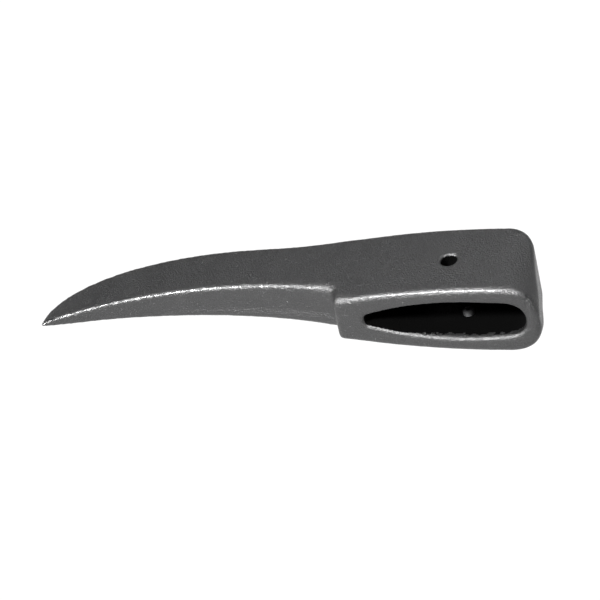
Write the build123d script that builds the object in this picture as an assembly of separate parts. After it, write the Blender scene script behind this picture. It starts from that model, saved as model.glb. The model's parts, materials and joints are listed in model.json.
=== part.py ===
from build123d import *
import os
from math import cos, radians, sin, sqrt

# A curved pick tooth, forged in one piece with the socket block that carries it, and the
# set screw in the block's lower cheek that grips the shank in the socket.
#
# Frame, in millimetres: the origin is the middle of the socket's mouth. +X runs along the
# tooth to its heel, +Y into the socket and +Z through its thickness, so the tooth lies on
# its lower cheek and its tip is at the -X end.

# --- socket ---
mouth_length = 66.6        # nose to heel, measured in the mouth's plane
mouth_heel_radius = 7.8    # round end of the socket at the heel
mouth_crown = 8.0          # degrees by which each side swells before it narrows
mouth_nose_half = 2.1      # half height of the narrow end at the nose
mouth_nose_radius = 1.8    # rounding of the narrow end
socket_depth = 34.0
socket_straight = 3.0      # below this depth the socket's heel end leans in with the block's
lead_in = 0.9              # chamfer round the mouth

# --- block round the socket ---
heel_wall = 6.3            # from the socket's heel end to the outside
nose_wall = 12.4           # from the socket's nose to the step
back_wall = 7.4            # from the socket's blind end to the back
step_half = 9.9            # half thickness at the step
heel_radius = 16.0         # round end of the cheeks at the heel
heel_taper = 0.21          # the heel leans in by this much for each mm of depth
back_corner_radius = 12.0  # back corner of the heel, seen from above
rim_radius = 2.2           # rounding of the block's outer edges

# --- beak ---
beak_length = 126.0        # step to tip
tip_hook = 4.0             # how far the tip hooks past the mouth's plane
back_reach = 90.0          # length of the quarter ellipse that rounds the back to the tip
back_inset = 3.6           # the beak's back lies this far inside the block's back
back_blend = 28.0          # length over which the beak's back meets the block's
front_crest = 84.0         # distance from the tip to the crest of the hollow front
front_inset = 12.3         # the crest lies this far behind the mouth's plane
root_half = 9.9            # half thickness where the beak leaves the step
taper_power = 0.56         # how fast the thickness falls off towards the tip
edge_round = 0.2           # corner radius of a section as a share of its half thickness
tip_land = 0.15            # the very tip is dressed off flat by this much
section_count = 10         # steps from tip to root
section_spread = 1.7       # crowds the sections towards the tip
root_overlap = 4.0         # how far the beak's root runs into the block
step_fillet = 5.0          # hollow corner between the beak's front and the step

# --- cross hole and set screw ---
cross_hole_x = 0.3
cross_hole_y = 20.4
cross_hole_radius = 3.5    # upper cheek: clear for a pin or bolt
screw_x = 5.4
screw_y = 17.0
screw_radius = 2.5         # M5, to the crests of its thread
screw_length = 8.0
screw_clearance = 0.05     # between the screw's crests and the wall of its hole
screw_recess = 0.4         # the screw's outer end lies this far inside the cheek
key_across_flats = 2.5     # hexagon socket in the screw's outer end
key_depth = 2.5
point_chamfer = 0.6
cup_radius = 1.2           # hollow cup that bites the shank
cup_depth = 0.7

# --- places that follow from the sizes ---
nose_x = -mouth_length / 2
socket_end_x = mouth_length / 2
heel_x = socket_end_x + heel_wall
block_depth = socket_depth + back_wall
step_x = nose_x - nose_wall
tip_x = step_x - beak_length


def egg(heel_end, heel_half, crown, nose_end, nose_half):
    """Outline in the XZ plane: round heel, crowned sides and a narrow flat nose."""
    centre = heel_end - heel_half
    lift = radians(90 - crown)
    upper = (centre + heel_half * cos(lift), heel_half * sin(lift))
    lower = (upper[0], -upper[1])
    with BuildSketch(Plane.XZ) as outline:
        with BuildLine():
            ThreePointArc(lower, (heel_end, 0), upper)
            TangentArc(upper, (nose_end, nose_half), tangent=(-sin(lift), cos(lift)))
            TangentArc(lower, (nose_end, -nose_half), tangent=(-sin(lift), -cos(lift)))
            Line((nose_end, nose_half), (nose_end, -nose_half))
        make_face()
    return outline.sketch


def cheek_at(x):
    """Half thickness of the block at x, on the long arc of its cheek."""
    shoulder_x = heel_x - heel_radius
    fall = heel_radius - step_half
    arc_radius = ((shoulder_x - step_x) ** 2 + fall ** 2) / (2 * fall)
    return heel_radius - arc_radius + sqrt(arc_radius ** 2 - (shoulder_x - x) ** 2)


def socket_block():
    """Solid block round the socket, with its heel leaning in towards the back."""
    cheeks = extrude(egg(heel_x, heel_radius, 0, step_x, step_half), amount=-block_depth)
    back_heel_x = heel_x - heel_taper * block_depth
    with BuildSketch(Plane.XY) as plan:
        with BuildLine():
            Polyline((step_x, 0), (heel_x, 0), (back_heel_x, block_depth),
                     (step_x, block_depth), close=True)
        make_face()
        back_corner = plan.vertices().sort_by(Axis.X)[2]
        fillet(back_corner, back_corner_radius)
    block = cheeks & extrude(plan.sketch, amount=heel_radius, both=True)
    return fillet(block.edges(), rim_radius)


def smooth_step(share):
    """0 to 1 with level ends."""
    share = min(max(share, 0), 1)
    return share * share * (3 - 2 * share)


def back_at(run):
    """Y of the beak's back, at a distance run from the tip."""
    rise = block_depth - back_inset + tip_hook
    left = max(1 - run / back_reach, 0)
    blend = smooth_step((run - beak_length + back_blend) / back_blend)
    return rise * sqrt(1 - left * left) - tip_hook + back_inset * blend


def front_at(run):
    """Y of the beak's hollow front, at a distance run from the tip."""
    left = 1 - run / front_crest
    return (front_inset + tip_hook) * (1 - left * left) - tip_hook


def half_at(run):
    """Half thickness of the beak, at a distance run from the tip."""
    return root_half * (run / beak_length) ** taper_power


def beak():
    """Curved beak, lofted from its tip through rounded sections into the block."""
    reach = beak_length + root_overlap - tip_land
    sections = []
    for index in range(section_count + 1):
        run = tip_land + reach * (index / section_count) ** section_spread
        back, front, half = back_at(run), front_at(run), half_at(run)
        place = Plane((tip_x + run, (back + front) / 2, 0), x_dir=(0, 1, 0), z_dir=(1, 0, 0))
        sections.append(place * RectangleRounded(back - front, 2 * half, edge_round * half))
    return loft(sections)


def step_corner(body):
    """Edges of the hollow corner where the beak's front meets the block's step."""
    front_y = front_at(beak_length)
    at_step = body.edges().filter_by_position(Axis.X, step_x - 0.3, step_x + 0.3)
    near_front = at_step.filter_by_position(Axis.Y, front_y - 1, front_y + edge_round * root_half)
    return near_front.filter_by(lambda edge: edge.length > root_half)


def mouth_outline():
    """Outline of the socket in the mouth's plane."""
    mouth = egg(socket_end_x, mouth_heel_radius, mouth_crown, nose_x, mouth_nose_half)
    return fillet(mouth.vertices().sort_by(Axis.X)[:2], mouth_nose_radius)


def socket():
    """Space for the shank: the mouth's outline, with its heel end leaning in."""
    mouth_end_x = socket_end_x + heel_taper * socket_straight
    blind_end_x = mouth_end_x - heel_taper * socket_depth
    with BuildSketch(Plane.XY) as plan:
        with BuildLine():
            Polyline((step_x, 0), (mouth_end_x, 0), (blind_end_x, socket_depth),
                     (step_x, socket_depth), close=True)
        make_face()
    reach = extrude(plan.sketch, amount=heel_radius, both=True)
    return extrude(mouth_outline(), amount=-socket_depth) & reach


def mouth_rim(body):
    """Edges of the socket in the mouth's plane."""
    face = body.faces().filter_by(Axis.Y).sort_by(Axis.Y)[0]
    return face.inner_wires()[0].edges()


def tooth_body():
    """Beak and block in one piece, with the socket and the cross hole cut in."""
    body = socket_block() + beak()
    body = fillet(step_corner(body), step_fillet)
    body -= socket()
    body = chamfer(mouth_rim(body), lead_in)
    upwards = (Align.CENTER, Align.CENTER, Align.MIN)
    downwards = (Align.CENTER, Align.CENTER, Align.MAX)
    cross_hole = Cylinder(cross_hole_radius, heel_radius, align=upwards)
    screw_hole = Cylinder(screw_radius + screw_clearance, heel_radius, align=downwards)
    body -= Pos(cross_hole_x, cross_hole_y, 0) * cross_hole
    return body - Pos(screw_x, screw_y, 0) * screw_hole


def set_screw():
    """Headless screw: hexagon socket at its outer end, cup point towards the shank."""
    upwards = (Align.CENTER, Align.CENTER, Align.MIN)
    screw = Cylinder(screw_radius, screw_length, align=upwards)
    screw = chamfer(screw.edges().sort_by(Axis.Z)[-1], point_chamfer)
    key = RegularPolygon(key_across_flats / 2, 6, major_radius=False)
    screw -= extrude(key, amount=key_depth)
    cup = Cone(0.05, cup_radius, cup_depth, align=(Align.CENTER, Align.CENTER, Align.MAX))
    screw -= Pos(0, 0, screw_length) * cup
    outer_end = screw_recess - cheek_at(screw_x)
    return Pos(screw_x, screw_y, outer_end) * screw


os.makedirs("parts", exist_ok=True)
export_step(tooth_body(), "parts/tooth_body.step")
export_step(set_screw(), "parts/set_screw.step")
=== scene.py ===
"""Looks for a socketed pick tooth: its painted, forged body, its set screw and a studio."""

import json
import math

import bmesh
import bpy
import numpy as np
from mathutils import Matrix, Vector, noise


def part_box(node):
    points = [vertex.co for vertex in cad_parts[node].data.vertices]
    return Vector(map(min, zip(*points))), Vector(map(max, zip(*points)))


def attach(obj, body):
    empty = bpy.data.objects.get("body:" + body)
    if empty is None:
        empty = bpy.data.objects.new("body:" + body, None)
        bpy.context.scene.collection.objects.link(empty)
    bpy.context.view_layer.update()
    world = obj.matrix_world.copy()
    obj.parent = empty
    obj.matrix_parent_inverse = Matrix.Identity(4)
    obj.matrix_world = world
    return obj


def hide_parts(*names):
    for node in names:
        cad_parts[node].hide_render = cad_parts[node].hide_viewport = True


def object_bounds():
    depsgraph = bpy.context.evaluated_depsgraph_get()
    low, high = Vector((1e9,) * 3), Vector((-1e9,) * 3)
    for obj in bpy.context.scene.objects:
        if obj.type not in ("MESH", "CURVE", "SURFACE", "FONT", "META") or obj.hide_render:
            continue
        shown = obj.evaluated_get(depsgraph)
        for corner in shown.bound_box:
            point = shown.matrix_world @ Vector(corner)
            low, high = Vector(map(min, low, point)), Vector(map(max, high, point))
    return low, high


bl_info = {
    "name": "Socketed pick tooth",
    "version": (1, 0, 0),
    "blender": (4, 5, 0),
    "location": "3D View > Sidebar > Pick Tooth",
    "description": "Builds the finished pieces of a socketed pick tooth round its CAD frame",
    "category": "Object",
}

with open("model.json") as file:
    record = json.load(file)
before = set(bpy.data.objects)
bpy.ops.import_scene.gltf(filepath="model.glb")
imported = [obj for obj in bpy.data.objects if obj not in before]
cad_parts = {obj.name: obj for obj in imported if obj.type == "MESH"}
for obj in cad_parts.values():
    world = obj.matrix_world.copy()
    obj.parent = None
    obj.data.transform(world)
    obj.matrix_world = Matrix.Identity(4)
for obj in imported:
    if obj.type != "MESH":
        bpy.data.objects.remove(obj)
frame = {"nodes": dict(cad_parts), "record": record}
CAD_BOX = [[float(value) for value in corner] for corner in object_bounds()]

BODY_NODE = "tooth_body"
SCREW_NODE = "set_screw"
MILLIMETRE = 0.001

# Skin: lengths of its waves, and the numbers that its smoothing and masks share.
DIE_WAVE = 0.022
COARSE_SCALE = 0.0045
FINE_SCALE = 0.0016
EDGE_SCALE = 0.0015
RELAX = 0.5             # share of the way to the neighbours' mean that one pass goes
OUTER_SKIN = 0.003      # points nearer than this to the outside aren't inner walls
EDGE_GAIN = 16.0        # turns a point's drop below its neighbours into the edge mask
EDGE_FLOOR = 0.35

# Paint beads: direction in degrees, distance in hole radii, size in mm, share of the height.
BEADS = ((260, 1.73, 1.1, 1.0), (268, 1.12, 0.7, 0.5), (98, 1.1, 0.8, 0.45),
         (60, 1.12, 0.6, 0.3), (295, 1.1, 0.6, 0.3))

# Screw: smallest bevels, the cone under the key's socket, and the cup in its point.
NICK = 0.0001
BEVEL = 0.0002
CHAMFER = 0.0006
KEY_DEPTH = 0.0025
KEY_CONE = 0.0004
CUP_RIM = 0.0013
CUP_MOUTH = 0.0011
CUP_FLOOR = 0.0002
CUP_DEPTH = 0.0007
SCREW_SIDES = 48
SCREW_RINGS = 96

# Studio: places are measured from the point that the camera looks at.
KEY_PLACE = (-0.325, -0.66, 0.81)
KEY_SIZE = (0.26, 0.16)
HEEL_PLACE = (0.17, 0.12, 0.5)
HEEL_SIZE = (0.3, 0.3)
GLOW_FADE = (0.07, 0.14)    # the table's glow falls off between these, past the heel
FAR_GLOW = 0.4              # share of the glow that is left beyond them
FLOOR_REACH = 6
FLOOR_GAP = 0.00005


# ---------------------------------------------------------------- settings


class ForgingSettings(bpy.types.PropertyGroup):
    """Shape of the forged skin."""

    cell: bpy.props.FloatProperty(
        name="Cell", description="Size of the skin's mesh cells",
        default=0.0005, min=0.0003, unit="LENGTH")
    step: bpy.props.FloatProperty(
        name="Step", description="Where along X the block's step stands",
        default=-0.0457, unit="LENGTH")
    mouth_nose: bpy.props.FloatProperty(
        name="Mouth nose", description="Where along X the socket's narrow end is",
        default=-0.0333, unit="LENGTH")
    edge_passes: bpy.props.IntProperty(
        name="Edge passes", description="Smoothing passes over the whole skin",
        default=7, min=0)
    step_passes: bpy.props.IntProperty(
        name="Step passes", description="Smoothing passes over the step's upper corner",
        default=50, min=0)
    under_edge_passes: bpy.props.IntProperty(
        name="Under edge passes", description="Smoothing passes along the beak's lower edge",
        default=40, min=0)
    under_edge_swell: bpy.props.FloatProperty(
        name="Under edge swell", description="How far the beak's lower edge is filled first",
        default=0.0007, min=0, unit="LENGTH")
    lip_passes: bpy.props.IntProperty(
        name="Lip passes", description="Smoothing passes round the mouth's lip",
        default=60, min=0)
    fullness: bpy.props.FloatProperty(
        name="Heel fullness", description="Power of the heel's rounding. 2 is a half circle",
        default=2.5, min=2)
    wave: bpy.props.FloatProperty(
        name="Waviness", description="Height of the long, shallow waves left by the dies",
        default=0.00008, min=0, unit="LENGTH")
    scale_mark: bpy.props.FloatProperty(
        name="Scale marks", description="Height of the grain left by forging scale",
        default=0.00003, min=0, unit="LENGTH")
    edge_grit: bpy.props.FloatProperty(
        name="Edge grit", description="Height of the rough scale along the edges",
        default=0.00020, min=0, unit="LENGTH")
    bead: bpy.props.FloatProperty(
        name="Paint bead", description="Height of the beads of paint round the cross hole",
        default=0.00035, min=0, unit="LENGTH")
    # Beyond this depth the socket's walls get the near-black scale colour, which is painted shade
    # as well as unpainted scale.
    overspray: bpy.props.FloatProperty(
        name="Overspray", description="How far the paint reaches into the socket",
        default=0.0036, min=0, unit="LENGTH")


class PaintSettings(bpy.types.PropertyGroup):
    """Satin paint over the forged skin."""

    colour: bpy.props.FloatVectorProperty(
        name="Colour", description="Paint colour", subtype="COLOR", size=3,
        default=(0.018, 0.018, 0.0185), min=0, max=1)
    # Paler paint on the edges: partly worn paint, partly painted highlight, and a painted
    # reflection along the beak's lower edge.
    worn_and_highlit: bpy.props.FloatVectorProperty(
        name="Rubbed colour", description="Paint colour on rubbed edges", subtype="COLOR",
        size=3, default=(0.052, 0.052, 0.054), min=0, max=1)
    roughness: bpy.props.FloatProperty(
        name="Roughness", description="Roughness of the flat faces", subtype="FACTOR",
        default=0.38, min=0, max=1)
    edge_roughness: bpy.props.FloatProperty(
        name="Edge roughness", description="Roughness where hands and cloths polish the edges",
        subtype="FACTOR", default=0.15, min=0, max=1)
    gloss: bpy.props.FloatProperty(
        name="Gloss", description="Share of glossy skin on the flat faces", subtype="FACTOR",
        default=0.0, min=0, max=1)
    edge_gloss: bpy.props.FloatProperty(
        name="Edge gloss", description="Share of glossy skin on the edges", subtype="FACTOR",
        default=0.60, min=0, max=1)
    # Near-black colour of the unpainted scale inside the socket and the cross hole, set this dark
    # as painted shade in those recesses; the overspray near the mouth is mixed towards it as
    # painted shade too.
    scale: bpy.props.FloatVectorProperty(
        name="Scale colour", description="Bare black scale inside the socket", subtype="COLOR",
        size=3, default=(0.0020, 0.0020, 0.0021), min=0, max=1)


class ScrewSettings(bpy.types.PropertyGroup):
    """Set screw."""

    pitch: bpy.props.FloatProperty(
        name="Pitch", description="Distance from one thread to the next",
        default=0.0008, min=0.0002, unit="LENGTH")
    thread_depth: bpy.props.FloatProperty(
        name="Thread depth", description="Crest to root of the thread",
        default=0.00043, min=0, unit="LENGTH")
    across_flats: bpy.props.FloatProperty(
        name="Across flats", description="Size of the key that turns the screw",
        default=0.0025, min=0.001, unit="LENGTH")
    colour: bpy.props.FloatVectorProperty(
        name="Colour", description="Oxide on the screw", subtype="COLOR", size=3,
        default=(0.030, 0.030, 0.032), min=0, max=1)


class StudioSettings(bpy.types.PropertyGroup):
    """Camera, floor and lights."""

    azimuth: bpy.props.FloatProperty(
        name="Azimuth", description="Camera's swing from the mouth's side towards the heel",
        subtype="ANGLE", default=math.radians(21.7))
    elevation: bpy.props.FloatProperty(
        name="Elevation", description="Camera's height above the level",
        subtype="ANGLE", default=math.radians(37.08))
    roll: bpy.props.FloatProperty(
        name="Roll", description="Camera's turn about its own line of sight",
        subtype="ANGLE", default=math.radians(-13.4))
    distance: bpy.props.FloatProperty(
        name="Distance", description="Camera to the point it looks at",
        default=1.4, min=0.2, unit="LENGTH")
    width: bpy.props.FloatProperty(
        name="Picture width", description="Width seen at that distance",
        default=0.240, min=0.05, unit="LENGTH")
    aim: bpy.props.FloatVectorProperty(
        name="Aim", description="Point looked at, as shares of the tooth's box", size=3,
        default=(0.552, -0.085, 1.04))
    floor: bpy.props.FloatVectorProperty(
        name="Floor", description="Floor colour", subtype="COLOR", size=3,
        default=(0.30, 0.30, 0.30), min=0, max=1)
    glow: bpy.props.FloatProperty(
        name="Glow", description="Light that the table gives off", default=1.15, min=0)
    backdrop: bpy.props.FloatProperty(
        name="Backdrop", description="Brightness of table and tent seen directly",
        default=1.05, min=0)
    sky: bpy.props.FloatProperty(
        name="Sky", description="Light from the tent over the table", default=0.07, min=0)
    key_power: bpy.props.FloatProperty(
        name="Key power", description="Small softbox that draws glints along the edges",
        default=130.0, min=0, unit="POWER")
    fill_power: bpy.props.FloatProperty(
        name="Fill power", description="Softbox over the heel", default=2.8, min=0,
        unit="POWER")


class PickToothSettings(bpy.types.PropertyGroup):
    """All settings of the pick tooth."""

    forging: bpy.props.PointerProperty(type=ForgingSettings)
    paint: bpy.props.PointerProperty(type=PaintSettings)
    screw: bpy.props.PointerProperty(type=ScrewSettings)
    studio: bpy.props.PointerProperty(type=StudioSettings)


# ---------------------------------------------------------------- shader groups


def new_group(name, inputs, outputs):
    """Shader node group with float inputs {name: default} and outputs [(name, type)]."""
    group = bpy.data.node_groups.new(name, "ShaderNodeTree")
    for socket_name, default in inputs.items():
        socket = group.interface.new_socket(socket_name, in_out="INPUT",
                                            socket_type="NodeSocketFloat")
        socket.default_value = default
    for socket_name, kind in outputs:
        group.interface.new_socket(socket_name, in_out="OUTPUT", socket_type=kind)
    source = group.nodes.new("NodeGroupInput")
    sink = group.nodes.new("NodeGroupOutput")
    return group, source, sink


def feed(tree, socket, value):
    """Link a socket to another one, or set it to a number or a colour."""
    if isinstance(value, bpy.types.NodeSocket):
        tree.links.new(value, socket)
    elif isinstance(value, (int, float)):
        socket.default_value = value
    else:
        socket.default_value = (*value, 1)


def math_node(tree, operation, first, second, clamp=False):
    """Math node whose operands are sockets or numbers."""
    node = tree.nodes.new("ShaderNodeMath")
    node.operation = operation
    node.use_clamp = clamp
    for socket, operand in zip(node.inputs, (first, second)):
        feed(tree, socket, operand)
    return node.outputs[0]


def ramp_node(tree, mask, low, high, span=(0.0, 1.0)):
    """Value that goes from low to high as the mask goes over the span."""
    node = tree.nodes.new("ShaderNodeMapRange")
    node.inputs["From Min"].default_value = span[0]
    node.inputs["From Max"].default_value = span[1]
    node.inputs["To Min"].default_value = low
    node.inputs["To Max"].default_value = high
    tree.links.new(mask, node.inputs["Value"])
    return node.outputs[0]


def mix_colours(tree, factor, first, second):
    """Mix of two colours, which are sockets or colour values."""
    node = tree.nodes.new("ShaderNodeMix")
    node.data_type = "RGBA"
    for name, value in (("Factor", factor), ("A", first), ("B", second)):
        feed(tree, node.inputs[name], value)
    return node.outputs["Result"]


def attribute_node(tree, name):
    """Value that the mesh stores at its points under that name."""
    node = tree.nodes.new("ShaderNodeAttribute")
    node.attribute_name = name
    return node.outputs["Fac"]


def noise_node(tree, scale, detail, roughness):
    """Noise texture in the object's own metres. scale is a socket or a number."""
    place = tree.nodes.new("ShaderNodeTexCoord")
    node = tree.nodes.new("ShaderNodeTexNoise")
    node.inputs["Detail"].default_value = detail
    node.inputs["Roughness"].default_value = roughness
    tree.links.new(place.outputs["Object"], node.inputs["Vector"])
    feed(tree, node.inputs["Scale"], scale)
    return node.outputs["Fac"]


def grit_group():
    """Height of a gritty skin: a soft peel, finer grit and scattered grains."""
    inputs = {"Peel Scale": 900.0, "Grit Scale": 2600.0, "Grit Share": 0.5, "Grain Share": 0.3}
    group, source, sink = new_group("gritty_skin", inputs, [("Height", "NodeSocketFloat")])
    peel = noise_node(group, source.outputs["Peel Scale"], 2.0, 0.5)
    grit = noise_node(group, source.outputs["Grit Scale"], 3.0, 0.6)
    place = group.nodes.new("ShaderNodeTexCoord")
    cells = group.nodes.new("ShaderNodeTexVoronoi")
    group.links.new(place.outputs["Object"], cells.inputs["Vector"])
    group.links.new(source.outputs["Peel Scale"], cells.inputs["Scale"])
    grain = ramp_node(group, cells.outputs["Distance"], 1.0, 0.0, span=(0.0, 0.28))
    gritty = math_node(group, "MULTIPLY", grit, source.outputs["Grit Share"])
    grainy = math_node(group, "MULTIPLY", grain, source.outputs["Grain Share"])
    total = math_node(group, "ADD", math_node(group, "ADD", peel, gritty), grainy)
    group.links.new(total, sink.inputs["Height"])
    return group


def mottle_group():
    """Patches from 0 to 1, for uneven colour and sheen."""
    group, source, sink = new_group("mottle", {"Scale": 60.0, "Contrast": 1.0},
                                    [("Mask", "NodeSocketFloat")])
    patches = noise_node(group, source.outputs["Scale"], 4.0, 0.55)
    centred = math_node(group, "SUBTRACT", patches, 0.5)
    spread = math_node(group, "MULTIPLY", centred, source.outputs["Contrast"])
    group.links.new(math_node(group, "ADD", spread, 0.5, clamp=True), sink.inputs["Mask"])
    return group


def place_group(tree, name, builder, values):
    """Put a shared group in a material, with its own values."""
    node = tree.nodes.new("ShaderNodeGroup")
    node.node_tree = bpy.data.node_groups.get(name) or builder()
    for socket_name, value in values.items():
        node.inputs[socket_name].default_value = value
    return node


def mottle_mask(tree, scale, contrast):
    """Mask of the shared mottle group, with its own scale and contrast."""
    values = {"Scale": scale, "Contrast": contrast}
    return place_group(tree, "mottle", mottle_group, values).outputs["Mask"]


def new_material(name):
    """Material with its node tree, its Principled BSDF and nothing else."""
    material = bpy.data.materials.new(name)
    material.use_nodes = True
    tree = material.node_tree
    return material, tree, tree.nodes["Principled BSDF"]


def gritty_bump(tree, shader, values, strength, distance):
    """Roughen a shader's normal with the shared gritty skin, with its own values."""
    skin = place_group(tree, "gritty_skin", grit_group, values)
    node = tree.nodes.new("ShaderNodeBump")
    node.inputs["Strength"].default_value = strength
    node.inputs["Distance"].default_value = distance
    tree.links.new(skin.outputs["Height"], node.inputs["Height"])
    tree.links.new(node.outputs["Normal"], shader.inputs["Normal"])


def overspray_painted_shade(tree, colour, settings):
    """Colour of the socket's lower walls: the paint is mixed towards the near-black scale colour,
    partly overspray that only dusts the scale and partly painted shade inside the mouth.
    """
    gaps = math_node(tree, "SUBTRACT", 1.25, mottle_mask(tree, 1500.0, 3.0))
    share = math_node(tree, "MULTIPLY", attribute_node(tree, "overspray_shade"), gaps, clamp=True)
    return mix_colours(tree, share, colour, settings.scale)


def satin_paint(settings):
    """Charcoal satin paint over gritty forged skin, glossier and paler on the edges: the paler
    tone is partly worn paint and partly painted highlight, and along the beak's lower edge a
    painted reflection.
    """
    material, tree, shader = new_material("charcoal_satin_paint")
    # The edge mask lightens the colour: partly worn paint, partly painted highlight on the edges
    # and painted reflection under the beak.
    edge = attribute_node(tree, "edge")
    patches = mottle_mask(tree, 90.0, 1.6)
    patchy_edge = math_node(tree, "MULTIPLY", edge, patches)
    uneven = math_node(tree, "MULTIPLY", mottle_mask(tree, 2100.0, 3.2), 0.9)
    tone = math_node(tree, "ADD", patchy_edge, uneven)
    colour = mix_colours(tree, tone, settings.colour, settings.worn_and_highlit)
    # Inside the mouth the lower walls are darkened here as painted shade.
    tree.links.new(overspray_painted_shade(tree, colour, settings), shader.inputs["Base Color"])
    broken_edge = math_node(tree, "MULTIPLY", edge, mottle_mask(tree, 800.0, 9.0))
    sheen = ramp_node(tree, broken_edge, settings.roughness, settings.edge_roughness)
    patch_sheen = math_node(tree, "MULTIPLY", patches, 0.06)
    tree.links.new(math_node(tree, "ADD", sheen, patch_sheen), shader.inputs["Roughness"])
    tree.links.new(ramp_node(tree, broken_edge, settings.gloss, settings.edge_gloss),
                   shader.inputs["Coat Weight"])
    shader.inputs["Coat Roughness"].default_value = 0.09
    gritty_bump(tree, shader, {"Peel Scale": 1300.0, "Grit Scale": 2900.0, "Grit Share": 0.7,
                               "Grain Share": 0.4}, strength=1.0, distance=0.0003)
    return material


def bare_scale_and_shade(settings):
    """Black forging scale where no paint reached, darkened to near black as painted shade inside
    the socket and the cross hole.
    """
    material, tree, shader = new_material("forging_scale_painted_shade")
    patches = mottle_mask(tree, 500.0, 2.4)
    paler = tuple(2.5 * value for value in settings.scale)
    # Painted shade: the scale colour is near black so the inner walls read dark.
    tree.links.new(mix_colours(tree, patches, settings.scale, paler),
                   shader.inputs["Base Color"])
    rough = math_node(tree, "MULTIPLY", patches, 0.15)
    tree.links.new(math_node(tree, "ADD", rough, 0.85), shader.inputs["Roughness"])
    shader.inputs["Specular IOR Level"].default_value = 0.02
    gritty_bump(tree, shader, {"Peel Scale": 900.0, "Grit Scale": 3200.0, "Grit Share": 0.8,
                               "Grain Share": 0.6}, strength=0.8, distance=0.0003)
    return material


def oxide_steel(settings):
    """Black oxide over machined steel."""
    material, tree, shader = new_material("black_oxide_steel")
    patches = mottle_mask(tree, 700.0, 2.0)
    worn = tuple(min(1.8 * value, 1) for value in settings.colour)
    tree.links.new(mix_colours(tree, patches, settings.colour, worn),
                   shader.inputs["Base Color"])
    shader.inputs["Metallic"].default_value = 0.2
    shader.inputs["Specular IOR Level"].default_value = 0.25
    rough = math_node(tree, "MULTIPLY", patches, 0.15)
    tree.links.new(math_node(tree, "ADD", rough, 0.6), shader.inputs["Roughness"])
    gritty_bump(tree, shader, {"Peel Scale": 2500.0, "Grit Scale": 9000.0, "Grit Share": 0.4,
                               "Grain Share": 0.0}, strength=0.3, distance=0.00004)
    return material


def pale_floor(settings):
    """Matt table top that glows, less past the heel, and looks clean white to the camera."""
    material, tree, shader = new_material("pale_floor")
    darker = tuple(0.97 * value for value in settings.floor)
    tree.links.new(mix_colours(tree, mottle_mask(tree, 3.0, 0.6), settings.floor, darker),
                   shader.inputs["Base Color"])
    shader.inputs["Roughness"].default_value = 0.7
    shader.inputs["Specular IOR Level"].default_value = 0.2
    shader.inputs["Emission Color"].default_value = (1, 1, 1, 1)
    place = tree.nodes.new("ShaderNodeTexCoord")
    along = tree.nodes.new("ShaderNodeSeparateXYZ")
    tree.links.new(place.outputs["Object"], along.inputs["Vector"])
    glow = ramp_node(tree, along.outputs["X"], settings.glow, FAR_GLOW * settings.glow,
                     span=GLOW_FADE)
    tree.links.new(glow, shader.inputs["Emission Strength"])
    clean = tree.nodes.new("ShaderNodeEmission")
    clean.inputs["Strength"].default_value = settings.backdrop
    seen = tree.nodes.new("ShaderNodeLightPath")
    either = tree.nodes.new("ShaderNodeMixShader")
    tree.links.new(seen.outputs["Is Camera Ray"], either.inputs["Fac"])
    tree.links.new(shader.outputs["BSDF"], either.inputs[1])
    tree.links.new(clean.outputs["Emission"], either.inputs[2])
    tree.links.new(either.outputs["Shader"], tree.nodes["Material Output"].inputs["Surface"])
    return material


# ---------------------------------------------------------------- meshes


def new_object(name, mesh):
    """Object with that mesh, in the scene."""
    piece = bpy.data.objects.new(name, mesh)
    bpy.context.scene.collection.objects.link(piece)
    return piece


def remeshed(node, cell):
    """Even mesh of a CAD node's shape, with cells of one size. The node is left as it is."""
    source = new_object("remesh_source", frame["nodes"][node].data.copy())
    even = source.modifiers.new("even", "REMESH")
    even.mode = "VOXEL"
    even.voxel_size = cell
    bpy.context.view_layer.update()
    graph = bpy.context.evaluated_depsgraph_get()
    mesh = bpy.data.meshes.new_from_object(source.evaluated_get(graph))
    bpy.data.objects.remove(source)
    return mesh


class Skin:
    """Points of a mesh as an array, with the neighbour averages that smoothing needs."""

    def __init__(self, mesh):
        self.mesh = mesh
        count = len(mesh.vertices)
        self.points = np.zeros(count * 3)
        mesh.vertices.foreach_get("co", self.points)
        self.points = self.points.reshape(-1, 3)
        ends = np.zeros(len(mesh.edges) * 2, dtype=np.int64)
        mesh.edges.foreach_get("vertices", ends)
        self.ends = ends.reshape(-1, 2)
        self.valence = np.bincount(ends, minlength=count)

    def average(self, values):
        """Mean of each point's neighbours."""
        first, second = self.ends[:, 0], self.ends[:, 1]
        columns = []
        for column in values.reshape(len(values), -1).T:
            total = np.bincount(first, column[second], len(values))
            total += np.bincount(second, column[first], len(values))
            columns.append(total / self.valence)
        return np.stack(columns, axis=1).reshape(values.shape)

    def relax(self, passes, share):
        """Move each point towards its neighbours' mean by its own share."""
        share = np.asarray(share)
        step = share[:, None] if share.ndim else share
        for _ in range(passes):
            self.points += step * (self.average(self.points) - self.points)

    def normals(self):
        """Unit normals at the points where they now are."""
        self.store()
        out = np.zeros(len(self.points) * 3, dtype=np.float32)
        self.mesh.vertices.foreach_get("normal", out)
        return out.reshape(-1, 3).astype(float)

    def edge_mask(self, cell):
        """0 on flat and hollow parts, 1 on sharp outer edges."""
        drop = self.points - self.average(self.points)
        sharp = np.einsum("ij,ij->i", drop, self.normals()) / cell
        for _ in range(3):
            sharp = self.average(sharp)
        return np.clip(sharp * EDGE_GAIN - EDGE_FLOOR, 0, 1)

    def store(self):
        """Write the points back to the mesh."""
        self.mesh.vertices.foreach_set("co", self.points.astype(np.float32).ravel())
        self.mesh.update()


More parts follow.
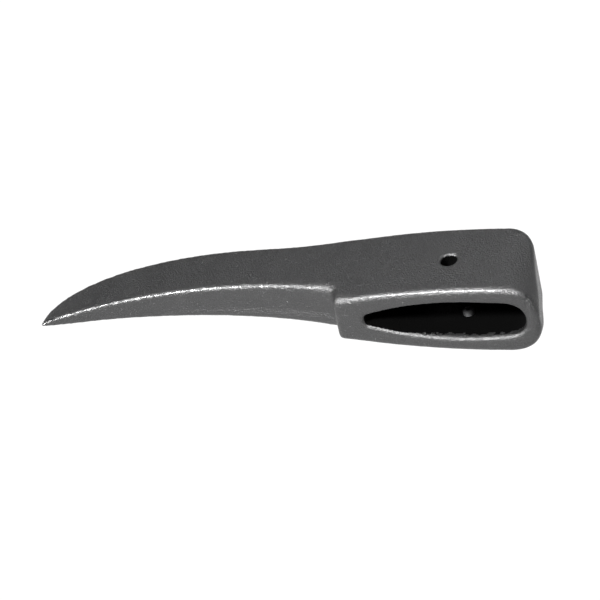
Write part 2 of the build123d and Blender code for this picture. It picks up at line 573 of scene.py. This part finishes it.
def paint_faces(mesh, bare_and_shaded):
    """Give each face the second material, the dark scale with painted shade, if all its corners
    are in the mask, else the first one.
    """
    corners = np.zeros(len(mesh.loops), dtype=np.int32)
    mesh.loops.foreach_get("vertex_index", corners)
    starts = np.zeros(len(mesh.polygons), dtype=np.int32)
    mesh.polygons.foreach_get("loop_start", starts)
    all_bare = np.minimum.reduceat(bare_and_shaded[corners].astype(np.int32), starts)
    mesh.polygons.foreach_set("material_index", all_bare.astype(np.int32))


def ramp(values, low, high):
    """0 at low, 1 at high, with level ends."""
    share = np.clip((values - low) / (high - low), 0, 1)
    return share * share * (3 - 2 * share)


def window(values, rise, fall):
    """1 between two ramps: up over the first span, down over the second."""
    return ramp(values, *rise) * (1 - ramp(values, *fall))


def waves(points, length, seed):
    """Smooth noise from -1 to 1, with waves of about that length."""
    shift = Vector((seed * 17.3, seed * 5.1, seed * 9.7))
    return np.array([noise.noise(Vector(point) / length + shift) for point in points])


def profile(places, values, cell):
    """Largest value near each place along a line, as a function of the place."""
    low = places.min()
    slots = ((places - low) / (2 * cell)).astype(int)
    tops = np.full(slots.max() + 1, -1.0)
    np.maximum.at(tops, slots, values)
    return lambda wanted: np.interp(wanted, low + (np.arange(len(tops)) + 0.5) * 2 * cell, tops)


def even_run(points, step, cell):
    """Share by which each point's Z grows so that the beak runs into the cheeks evenly."""
    reach = 0.012
    half = profile(points[:, 0], abs(points[:, 2]), cell)
    offsets = np.linspace(-reach, reach, 25)
    weights = 1 - (offsets / reach) ** 2
    smooth = sum(weight * half(points[:, 0] + offset) for weight, offset in zip(weights, offsets))
    near = window(points[:, 0], (step - 2 * reach, step - reach),
                  (step + reach, step + 2 * reach))
    return 1 + near * (smooth / weights.sum() / half(points[:, 0]) - 1)


def fuller_heel(points, power):
    """Shift that makes the heel's round end squarer at the mouth than a half circle."""
    radius = points[:, 2].max()
    middle = points[:, 0].max() - radius
    ahead = np.maximum(points[:, 0] - middle, 0)
    distance = np.hypot(ahead, points[:, 2])
    turn = np.arctan2(points[:, 2], ahead)
    swell = (abs(np.cos(turn)) ** power + abs(np.sin(turn)) ** power) ** (-1 / power) - 1
    share = ramp(distance, 0.62 * radius, 0.8 * radius) * (ahead > 0)
    share *= 1 - ramp(points[:, 1], 0.002, 0.024)
    grow = share * swell
    return np.stack([grow * ahead, np.zeros(len(points)), grow * points[:, 2]], axis=1)


def step_share(points, step):
    """How strongly smoothing acts at the step: its upper corner, not its lower one."""
    share = window(points[:, 0], (step - 0.015, step - 0.005), (step + 0.004, step + 0.012))
    share *= 1 - ramp(points[:, 1], 0.009, 0.016)
    return RELAX * share * ramp(points[:, 2], -0.004, 0.004)


def under_edge_share(points, step, cell):
    """How strongly smoothing acts along the beak's lower front edge."""
    front = profile(points[:, 0], -points[:, 1], cell)
    share = 1 - ramp(front(points[:, 0]) + points[:, 1], 0.003, 0.006)
    share *= 1 - ramp(points[:, 2], -0.006, -0.003)
    share *= ramp(points[:, 0], -0.165, -0.150)
    return share * (1 - ramp(points[:, 0], step - 0.004, step))


def lip_share(points, nose, heel_x):
    """How strongly smoothing acts at the mouth's lip: most at the heel's upper side."""
    least, extra = 0.06, 0.44
    share = 1 - ramp(points[:, 1], 0.0025, 0.004)
    share *= ramp(points[:, 0], nose - 0.003, nose)
    share *= 1 - ramp(abs(points[:, 2]), 0.0105, 0.012)
    share *= 1 - ramp(points[:, 0], heel_x - 0.0045, heel_x - 0.003)
    upper_heel = ramp(points[:, 0], 0.016, 0.028) * ramp(points[:, 2], -0.002, 0.003)
    return share * (least + extra * upper_heel)


def round_hole(points):
    """Each point's distance from the cross hole's axis, and the hole's radius."""
    hole, radius = cross_hole()
    return np.hypot(points[:, 0] - hole.x, points[:, 1] - hole.y), radius


def wall_masks(points, settings, cell):
    """Masks of the inner walls: where they are unpainted scale darkened to painted shade,
    including the cross hole's wall, and the lower walls where the overspray only dusts them and
    is darkened to painted shade too.
    """
    half = profile(points[:, 0], abs(points[:, 2]), cell)
    heel = profile(points[:, 1], points[:, 0], cell)
    depth = points[:, 1]
    inner = half(points[:, 0]) - abs(points[:, 2]) > OUTER_SKIN
    inner &= heel(depth) - points[:, 0] > OUTER_SKIN
    inner &= (depth > 0.0007) & (depth < depth.max() - OUTER_SKIN)
    inner &= points[:, 0] > settings.mouth_nose - 0.002
    reach = settings.overspray * ramp(points[:, 0], settings.mouth_nose + 0.008, 0.004)
    speckle = waves(points, 0.0011, 7) + waves(points, 0.0024, 8)
    # Past the overspray's reach the walls are unpainted scale with painted shade.
    bare_and_shaded = inner & (depth > reach * (0.75 + 0.5 * speckle))
    around, radius = round_hole(points)
    # The cross hole's wall is darkened as well, as painted shade in the hole.
    hole_wall = (around < 1.07 * radius) & (points[:, 2] > 0)
    bare_and_shaded |= hole_wall & (half(points[:, 0]) - points[:, 2] > 0.0005)
    return bare_and_shaded, inner * (1 - ramp(points[:, 2], 0, 0.002))


def dull_share(points, settings, cell):
    """Where edges stay dull: mouth's lower lip, corner at the step, cross hole's rim."""
    half = profile(points[:, 0], abs(points[:, 2]), cell)
    lip = ramp(half(points[:, 0]) - abs(points[:, 2]), 0.0018, 0.0028)
    lip *= (1 - ramp(points[:, 2], 0, 0.002)) * (1 - ramp(points[:, 1], 0.006, 0.008))
    lip *= ramp(points[:, 0], settings.mouth_nose, settings.mouth_nose + 0.012)
    step = window(points[:, 0], (settings.step - 0.014, settings.step - 0.006),
                  (settings.step + 0.002, settings.step + 0.008))
    corner = 0.9 * step * ramp(points[:, 2], 0, 0.003)
    around, radius = round_hole(points)
    rim = (1 - ramp(around, 1.3 * radius, 1.5 * radius)) * (points[:, 2] > 0)
    return np.maximum(np.maximum(lip, corner), rim)


def bead_height(points, centre, radius, height):
    """Rounded bump of that radius about a point."""
    distance = np.linalg.norm(points - np.array(centre), axis=1) / radius
    return height * np.clip(1 - distance * distance, 0, 1) ** 1.5


# ---------------------------------------------------------------- pieces


def cross_hole():
    """Middle of the cross hole and its radius, from the record."""
    mount = next(m for m in frame["record"]["mounts"] if m["name"] == "cross_hole")
    return Vector(mount["pos_m"]), mount["dims"]["r_mm"] * MILLIMETRE


def paint_beads(points, settings):
    """Beads of paint that dried beside the cross hole and on its rim."""
    hole, radius = cross_hole()
    around = round_hole(points)[0]
    rim = (around < 2 * radius) & (around > 1.1 * radius) & (points[:, 2] > 0)
    top = points[rim, 2].mean()
    rise = np.zeros(len(points))
    for turn, gap, size, share in BEADS:
        angle = math.radians(turn)
        centre = (hole.x + gap * radius * math.cos(angle),
                  hole.y + gap * radius * math.sin(angle), top)
        rise += bead_height(points, centre, size * MILLIMETRE, share * settings.bead)
    return rise


class PICK_OT_forged_tooth(bpy.types.Operator):
    """Builds the painted forging: beak, cheeks, step and socket in one skin"""

    bl_idname = "pick.forged_tooth"
    bl_label = "Forged tooth"

    def execute(self, context):
        settings = context.scene.pick_tooth.forging
        cell = settings.cell * 1
        mesh = remeshed(BODY_NODE, cell)
        skin = Skin(mesh)
        heel_x = CAD_BOX[1][0]
        skin.points[:, 2] *= even_run(skin.points, settings.step, cell)
        skin.points += fuller_heel(skin.points, settings.fullness)
        skin.relax(settings.edge_passes, RELAX)
        skin.relax(settings.step_passes, step_share(skin.points, settings.step))
        under = under_edge_share(skin.points, settings.step, cell)
        skin.points += under[:, None] * np.array([0, -1, -1]) * settings.under_edge_swell
        skin.relax(settings.under_edge_passes, RELAX * under)
        skin.relax(settings.lip_passes, lip_share(skin.points, settings.mouth_nose, heel_x))
        edge = skin.edge_mask(cell)
        bare_and_shaded, overspray_shade = wall_masks(skin.points, settings, cell)
        # The dull places also lose the paler edge tone, which is partly painted highlight.
        edge *= 1 - dull_share(skin.points, settings, cell)
        # Painted reflection: the beak's lower edge, where it faces down, gets the paler edge tone
        # as if it mirrored the white table.
        edge = np.maximum(edge, under * ramp(-skin.normals()[:, 2], 0.25, 0.5))
        rise = settings.wave * waves(skin.points, DIE_WAVE, 1)
        rise += settings.scale_mark * waves(skin.points, COARSE_SCALE, 2)
        rise += settings.scale_mark * waves(skin.points, FINE_SCALE, 3)
        upper = ramp(skin.points[:, 2], -0.002, 0.002)
        grit = settings.edge_grit * (0.08 + upper * edge)
        rise += grit * waves(skin.points, EDGE_SCALE, 4)
        rise += paint_beads(skin.points, settings)
        skin.points += rise[:, None] * skin.normals()
        skin.store()
        mesh.shade_smooth()
        # The edge attribute carries the paler tone, partly worn paint and partly painted
        # highlight; the overspray attribute carries painted shade on the socket's lower walls.
        mesh.attributes.new("edge", "FLOAT", "POINT").data.foreach_set("value", edge)
        mesh.attributes.new("overspray_shade", "FLOAT", "POINT").data.foreach_set("value", overspray_shade)
        # Faces inside the socket and the cross hole get the dark scale material, which is painted
        # shade as well as unpainted scale.
        mesh.materials.clear()
        mesh.materials.append(satin_paint(context.scene.pick_tooth.paint))
        mesh.materials.append(bare_scale_and_shade(context.scene.pick_tooth.paint))
        paint_faces(mesh, bare_and_shaded)
        piece = new_object("forged_tooth", mesh)
        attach(piece, "tooth")
        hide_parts(BODY_NODE)
        return {"FINISHED"}


def thread_radius(turn, height, settings, crest):
    """Radius of the thread at a turn (in whole turns) and a height up the screw."""
    phase = (height / settings.pitch - turn) % 1.0
    flank = abs(2 * phase - 1)
    return crest - settings.thread_depth * min(max(1.25 * flank - 0.1, 0), 1)


def screw_mesh(settings, low, high):
    """Headless screw: threaded barrel, cup point up and hexagon socket down."""
    crest = (high.x - low.x) / 2
    length = high.z - low.z
    middle = Vector(((low.x + high.x) / 2, (low.y + high.y) / 2, low.z))
    root = crest - settings.thread_depth
    build = bmesh.new()

    def ring(radius_at, height):
        points = []
        for index in range(SCREW_SIDES):
            angle = 2 * math.pi * index / SCREW_SIDES
            radius = radius_at(index / SCREW_SIDES, angle)
            place = Vector((radius * math.cos(angle), radius * math.sin(angle), height))
            points.append(build.verts.new(middle + place))
        return points

    def circle(radius):
        return lambda turn, angle: radius

    def hexagon(turn, angle):
        flat = settings.across_flats / 2
        return flat / math.cos((angle + math.pi / 6) % (math.pi / 3) - math.pi / 6)

    loops = [ring(lambda turn, angle: 0.35 * hexagon(turn, angle), KEY_DEPTH + KEY_CONE),
             ring(hexagon, KEY_DEPTH), ring(hexagon, BEVEL),
             ring(lambda turn, angle: hexagon(turn, angle) + BEVEL, 0),
             ring(circle(root - NICK), 0)]
    for step in range(SCREW_RINGS + 1):
        height = BEVEL + (length - CHAMFER - BEVEL) * step / SCREW_RINGS
        fade = min(height / CHAMFER, 1)

        def outer(turn, angle, height=height, fade=fade):
            return root + fade * (thread_radius(turn, height, settings, crest) - root)
        loops.append(ring(outer, height))
    for radius, height in ((root - CHAMFER * 0.5, length - NICK), (CUP_RIM, length),
                           (CUP_MOUTH, length - NICK), (CUP_FLOOR, length - CUP_DEPTH)):
        loops.append(ring(circle(radius), height))
    for lower, upper in zip(loops, loops[1:]):
        for index in range(SCREW_SIDES):
            following = (index + 1) % SCREW_SIDES
            build.faces.new((lower[index], lower[following], upper[following], upper[index]))
    build.faces.new(list(reversed(loops[0])))
    build.faces.new(loops[-1])
    bmesh.ops.recalc_face_normals(build, faces=build.faces)
    mesh = bpy.data.meshes.new("cup_point_screw")
    build.to_mesh(mesh)
    build.free()
    return mesh


class PICK_OT_cup_point_screw(bpy.types.Operator):
    """Builds the threaded set screw that grips the shank"""

    bl_idname = "pick.cup_point_screw"
    bl_label = "Cup point screw"

    def execute(self, context):
        settings = context.scene.pick_tooth.screw
        mesh = screw_mesh(settings, *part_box(SCREW_NODE))
        mesh.shade_smooth()
        mesh.set_sharp_from_angle(angle=math.radians(35))
        mesh.materials.append(oxide_steel(settings))
        piece = new_object("cup_point_screw", mesh)
        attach(piece, "screw")
        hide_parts(SCREW_NODE)
        return {"FINISHED"}


def camera_frame(settings):
    """Camera's right, up and backward directions."""
    level = math.cos(settings.elevation)
    back = Vector((math.sin(settings.azimuth) * level, -math.cos(settings.azimuth) * level,
                   math.sin(settings.elevation)))
    right = Vector((0, 0, 1)).cross(back).normalized()
    up = back.cross(right)
    turn = Matrix.Rotation(settings.roll, 3, back)
    return turn @ right, turn @ up, back


def add_camera(settings, aim):
    """Camera that looks at the aim, as wide as the settings say."""
    right, up, back = camera_frame(settings)
    data = bpy.data.cameras.new("camera")
    data.lens = data.sensor_width * settings.distance / settings.width
    data.clip_end = 20
    camera = bpy.data.objects.new("camera", data)
    bpy.context.scene.collection.objects.link(camera)
    turn = Matrix((right, up, back)).transposed()
    camera.matrix_world = Matrix.Translation(aim + settings.distance * back) @ turn.to_4x4()
    bpy.context.scene.camera = camera


def add_softbox(name, place, aim, size, power):
    """Add a rectangular light that faces the aim, and return it."""
    data = bpy.data.lights.new(name, "AREA")
    data.shape = "RECTANGLE"
    data.size, data.size_y = size
    data.energy = power
    light = bpy.data.objects.new(name, data)
    bpy.context.scene.collection.objects.link(light)
    light.location = aim + Vector(place)
    light.rotation_euler = (-Vector(place)).to_track_quat("-Z", "Y").to_euler()
    return light


def pale_tent(settings):
    """White tent: clean where the camera sees it, dimmer as a light."""
    world = bpy.data.worlds.new("pale_tent")
    world.use_nodes = True
    tree = world.node_tree
    tent = tree.nodes["Background"]
    tent.inputs["Color"].default_value = (1, 1, 1, 1)
    seen = tree.nodes.new("ShaderNodeLightPath")
    strength = ramp_node(tree, seen.outputs["Is Camera Ray"], settings.sky, settings.backdrop)
    tree.links.new(strength, tent.inputs["Strength"])
    return world


class PICK_OT_studio(bpy.types.Operator):
    """Sets the camera, a pale floor and soft light round the tooth"""

    bl_idname = "pick.studio"
    bl_label = "Studio"

    def execute(self, context):
        settings = context.scene.pick_tooth.studio
        low, high = Vector(CAD_BOX[0]), Vector(CAD_BOX[1])
        size = high - low
        aim = Vector([low[i] + settings.aim[i] * size[i] for i in range(3)])
        add_camera(settings, aim)
        build = bmesh.new()
        bmesh.ops.create_grid(build, x_segments=8, y_segments=8, size=FLOOR_REACH)
        mesh = bpy.data.meshes.new("floor")
        build.to_mesh(mesh)
        build.free()
        floor = new_object("floor", mesh)
        floor.location = (aim.x, aim.y, low.z - FLOOR_GAP)
        mesh.materials.append(pale_floor(settings))
        key = add_softbox("softbox_key", KEY_PLACE, aim, KEY_SIZE, settings.key_power)
        key.visible_diffuse = False
        add_softbox("softbox_heel", HEEL_PLACE, aim, HEEL_SIZE, settings.fill_power)
        context.scene.world = pale_tent(settings)
        context.scene.view_settings.view_transform = "Standard"
        return {"FINISHED"}


class PICK_PT_pieces(bpy.types.Panel):
    """Lists the pieces that can be built"""

    bl_label = "Pick Tooth"
    bl_idname = "PICK_PT_pieces"
    bl_space_type = "VIEW_3D"
    bl_region_type = "UI"
    bl_category = "Pick Tooth"

    def draw(self, context):
        """One button for each operator."""
        for operator in OPERATORS:
            self.layout.operator(operator.bl_idname)


OPERATORS = (PICK_OT_forged_tooth, PICK_OT_cup_point_screw, PICK_OT_studio)
GROUPS = (ForgingSettings, PaintSettings, ScrewSettings, StudioSettings, PickToothSettings)


def register():
    """Register the classes and give scenes their settings."""
    for cls in GROUPS + OPERATORS + (PICK_PT_pieces,):
        bpy.utils.register_class(cls)
    bpy.types.Scene.pick_tooth = bpy.props.PointerProperty(type=PickToothSettings)


def unregister():
    """Undo what register does."""
    del bpy.types.Scene.pick_tooth
    for cls in reversed(GROUPS + OPERATORS + (PICK_PT_pieces,)):
        bpy.utils.unregister_class(cls)


def main():
    """Build the pieces and the studio."""
    register()
    bpy.ops.pick.forged_tooth()
    bpy.ops.pick.cup_point_screw()
    bpy.ops.pick.studio()


if __name__ == "__main__":
    main()
